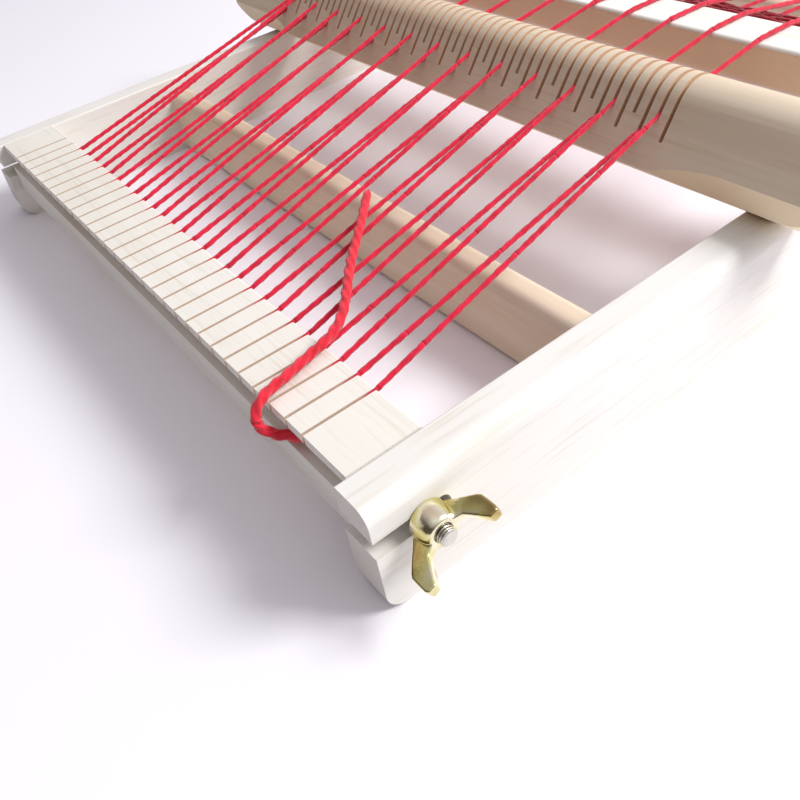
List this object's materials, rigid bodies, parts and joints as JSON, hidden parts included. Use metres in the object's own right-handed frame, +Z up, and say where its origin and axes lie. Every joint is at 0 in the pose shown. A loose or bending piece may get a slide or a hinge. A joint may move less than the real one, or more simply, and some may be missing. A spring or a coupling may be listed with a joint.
{
  "type": "frame loom",
  "caption": "Wooden frame loom with kerfed beams clamped by wing nuts, a rocking slotted heddle bar and a raised shed bar across the rails, and a wool warp.",
  "frame": {"origin": "on the floor at the middle of the frame, halfway between the rails and halfway along them", "axes": "+Z up, +X along the beams to the right, +Y along the rails from the beam with the yarn tail to the other beam"},
  "size_m": [0.4, 0.5038, 0.0836],
  "materials": {
    "pale_wood": "satin",
    "heddle_wood": "satin",
    "dowel_wood": "matte",
    "yellow_zinc": "polished",
    "zinc_rod": "satin",
    "red_wool": "matte",
    "woven_wool": "matte"
  },
  "bodies": {
    "frame": {"left_side_rail": "pale_wood", "right_side_rail": "pale_wood", "front_stretcher": "pale_wood", "rear_stretcher": "pale_wood", "stretcher_dowels": "dowel_wood", "upper_warp_front": "red_wool", "lower_warp_front": "red_wool", "upper_warp_rear": "red_wool", "lower_warp_rear": "red_wool", "weft_picks": "woven_wool"},
    "front_rod": {"front_beam_rod": "zinc_rod"},
    "front_beam": {"front_beam": "pale_wood", "yarn_tail": "red_wool"},
    "rear_rod": {"rear_beam_rod": "zinc_rod"},
    "rear_beam": {"rear_beam": "pale_wood"},
    "heddle": {"heddle_bar": "heddle_wood"},
    "shed": {"shed_bar": "pale_wood"},
    "front_left_nut": {"front_left_wing_nut": "yellow_zinc"},
    "front_right_nut": {"front_right_wing_nut": "yellow_zinc"},
    "rear_left_nut": {"rear_left_wing_nut": "yellow_zinc"},
    "rear_right_nut": {"rear_right_wing_nut": "yellow_zinc"}
  },
  "joints": [
    {"name": "front_beam_slide", "type": "slide", "parent": "frame", "child": "front_rod", "axis": [0, -1, 0], "range_m": [-0.0055, 0.008], "deforming": ["upper_warp_front", "lower_warp_front", "yarn_tail"]},
    {"name": "front_beam_turn", "type": "hinge", "parent": "front_rod", "child": "front_beam", "pos_m": [0, -0.2315, 0.029], "axis": [1, 0, 0], "range_deg": [-90, 90], "deforming": ["upper_warp_front", "lower_warp_front", "yarn_tail"]},
    {"name": "front_left_nut_spin", "type": "hinge", "parent": "front_rod", "child": "front_left_nut", "pos_m": [-0.19, -0.2315, 0.029], "axis": [-1, 0, 0], "continuous": true},
    {"name": "front_right_nut_spin", "type": "hinge", "parent": "front_rod", "child": "front_right_nut", "pos_m": [0.19, -0.2315, 0.029], "axis": [1, 0, 0], "continuous": true},
    {"name": "rear_beam_slide", "type": "slide", "parent": "frame", "child": "rear_rod", "axis": [0, 1, 0], "range_m": [-0.0055, 0.008], "deforming": ["upper_warp_rear", "lower_warp_rear"]},
    {"name": "rear_beam_turn", "type": "hinge", "parent": "rear_rod", "child": "rear_beam", "pos_m": [0, 0.2315, 0.029], "axis": [1, 0, 0], "range_deg": [-90, 90], "deforming": ["upper_warp_rear", "lower_warp_rear"]},
    {"name": "rear_left_nut_spin", "type": "hinge", "parent": "rear_rod", "child": "rear_left_nut", "pos_m": [-0.19, 0.2315, 0.029], "axis": [-1, 0, 0], "continuous": true},
    {"name": "rear_right_nut_spin", "type": "hinge", "parent": "rear_rod", "child": "rear_right_nut", "pos_m": [0.19, 0.2315, 0.029], "axis": [1, 0, 0], "continuous": true},
    {"name": "heddle_rock", "type": "hinge", "parent": "frame", "child": "heddle", "pos_m": [0, -0.065, 0.05219], "axis": [1, 0, 0], "range_deg": [0, 75.75], "deforming": ["upper_warp_front", "lower_warp_front", "upper_warp_rear", "lower_warp_rear"]},
    {"name": "shed_bar_slide", "type": "slide", "parent": "frame", "child": "shed", "axis": [0, 1, 0], "range_m": [-0.02, 0.045], "deforming": ["upper_warp_rear"]}
  ]
}
